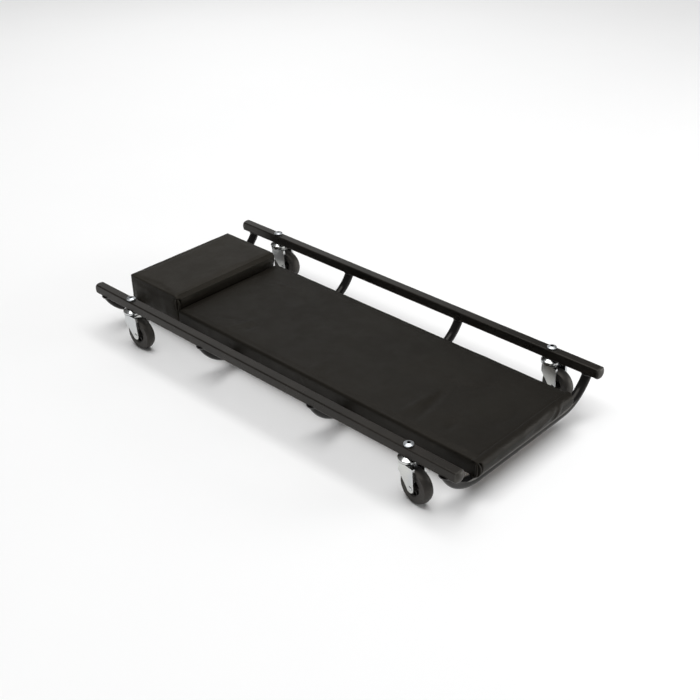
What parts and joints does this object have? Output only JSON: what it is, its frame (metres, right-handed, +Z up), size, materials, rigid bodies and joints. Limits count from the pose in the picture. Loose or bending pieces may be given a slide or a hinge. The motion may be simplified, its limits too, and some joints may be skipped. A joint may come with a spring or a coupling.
{
  "type": "mechanics creeper",
  "caption": "Low padded board with a raised headrest, slung on bent cross tubes between square side rails, on swivelling casters.",
  "frame": {"origin": "on the floor, midway between the side rails and midway along them", "axes": "+X from the head end towards the foot end, +Y towards the left rail of a person lying face up, +Z up"},
  "size_m": [0.928, 0.44, 0.104],
  "materials": {
    "rail_coat": "satin black powder coat",
    "tube_enamel": "gloss black enamel",
    "plug_plastic": "moulded black plastic",
    "deck_vinyl": "grained black upholstery vinyl",
    "headrest_vinyl": "grained black upholstery vinyl",
    "foam": "open-cell foam",
    "plywood": "unfinished plywood",
    "bright_steel": "bright zinc-plated steel",
    "zinc_plate": "zinc-plated pressed steel",
    "core_plastic": "moulded black plastic",
    "tyre_rubber": "black rubber"
  },
  "bodies": {
    "frame": {"left_rail": "rail_coat", "right_rail": "rail_coat", "end_plug_head_left": "plug_plastic", "end_plug_head_right": "plug_plastic", "end_plug_foot_left": "plug_plastic", "end_plug_foot_right": "plug_plastic", "cross_tube_head": "tube_enamel", "cross_tube_upper": "tube_enamel", "cross_tube_lower": "tube_enamel", "cross_tube_foot": "tube_enamel", "weld_beads": "rail_coat", "deck_board": "plywood", "deck_foam": "foam", "deck_cover": "deck_vinyl", "deck_staples": "bright_steel", "headrest_board": "plywood", "headrest_foam": "foam", "headrest_cover": "headrest_vinyl", "headrest_staples": "bright_steel", "joining_straps": "bright_steel", "strap_screws": "bright_steel", "pad_screws": "bright_steel", "caster_bolts": "bright_steel", "caster_nuts": "bright_steel", "swivel_bushes": "bright_steel", "swivel_washers": "bright_steel", "upper_race_head_left": "zinc_plate", "upper_race_head_right": "zinc_plate", "upper_race_foot_left": "zinc_plate", "upper_race_foot_right": "zinc_plate"},
    "swivel_head_left": {"fork_head_left": "zinc_plate", "swivel_balls_head_left": "bright_steel", "axle_bush_head_left": "bright_steel", "axle_rivet_head_left": "bright_steel"},
    "swivel_head_right": {"fork_head_right": "zinc_plate", "swivel_balls_head_right": "bright_steel", "axle_bush_head_right": "bright_steel", "axle_rivet_head_right": "bright_steel"},
    "swivel_foot_left": {"fork_foot_left": "zinc_plate", "swivel_balls_foot_left": "bright_steel", "axle_bush_foot_left": "bright_steel", "axle_rivet_foot_left": "bright_steel"},
    "swivel_foot_right": {"fork_foot_right": "zinc_plate", "swivel_balls_foot_right": "bright_steel", "axle_bush_foot_right": "bright_steel", "axle_rivet_foot_right": "bright_steel"},
    "wheel_head_left": {"wheel_core_head_left": "core_plastic", "tyre_head_left": "tyre_rubber"},
    "wheel_head_right": {"wheel_core_head_right": "core_plastic", "tyre_head_right": "tyre_rubber"},
    "wheel_foot_left": {"wheel_core_foot_left": "core_plastic", "tyre_foot_left": "tyre_rubber"},
    "wheel_foot_right": {"wheel_core_foot_right": "core_plastic", "tyre_foot_right": "tyre_rubber"}
  },
  "joints": [
    {"name": "swivel_head_left", "type": "hinge", "parent": "frame", "child": "swivel_head_left", "pos_m": [-0.3565, 0.2005, 0.07425], "axis": [0, 0, 1], "continuous": true},
    {"name": "swivel_head_right", "type": "hinge", "parent": "frame", "child": "swivel_head_right", "pos_m": [-0.3565, -0.2005, 0.07425], "axis": [0, 0, 1], "continuous": true},
    {"name": "swivel_foot_left", "type": "hinge", "parent": "frame", "child": "swivel_foot_left", "pos_m": [0.3565, 0.2005, 0.07425], "axis": [0, 0, 1], "continuous": true},
    {"name": "swivel_foot_right", "type": "hinge", "parent": "frame", "child": "swivel_foot_right", "pos_m": [0.3565, -0.2005, 0.07425], "axis": [0, 0, 1], "continuous": true},
    {"name": "roll_head_left", "type": "hinge", "parent": "swivel_head_left", "child": "wheel_head_left", "pos_m": [-0.33403, 0.20168, 0.032], "axis": [-0.0523, 0.9986, 0], "continuous": true},
    {"name": "roll_head_right", "type": "hinge", "parent": "swivel_head_right", "child": "wheel_head_right", "pos_m": [-0.334, -0.2005, 0.032], "axis": [0, 1, 0], "continuous": true},
    {"name": "roll_foot_left", "type": "hinge", "parent": "swivel_foot_left", "child": "wheel_foot_left", "pos_m": [0.37872, 0.19698, 0.032], "axis": [0.1564, 0.9877, 0], "continuous": true},
    {"name": "roll_foot_right", "type": "hinge", "parent": "swivel_foot_right", "child": "wheel_foot_right", "pos_m": [0.37872, -0.20402, 0.032], "axis": [0.1564, 0.9877, 0], "continuous": true}
  ]
}
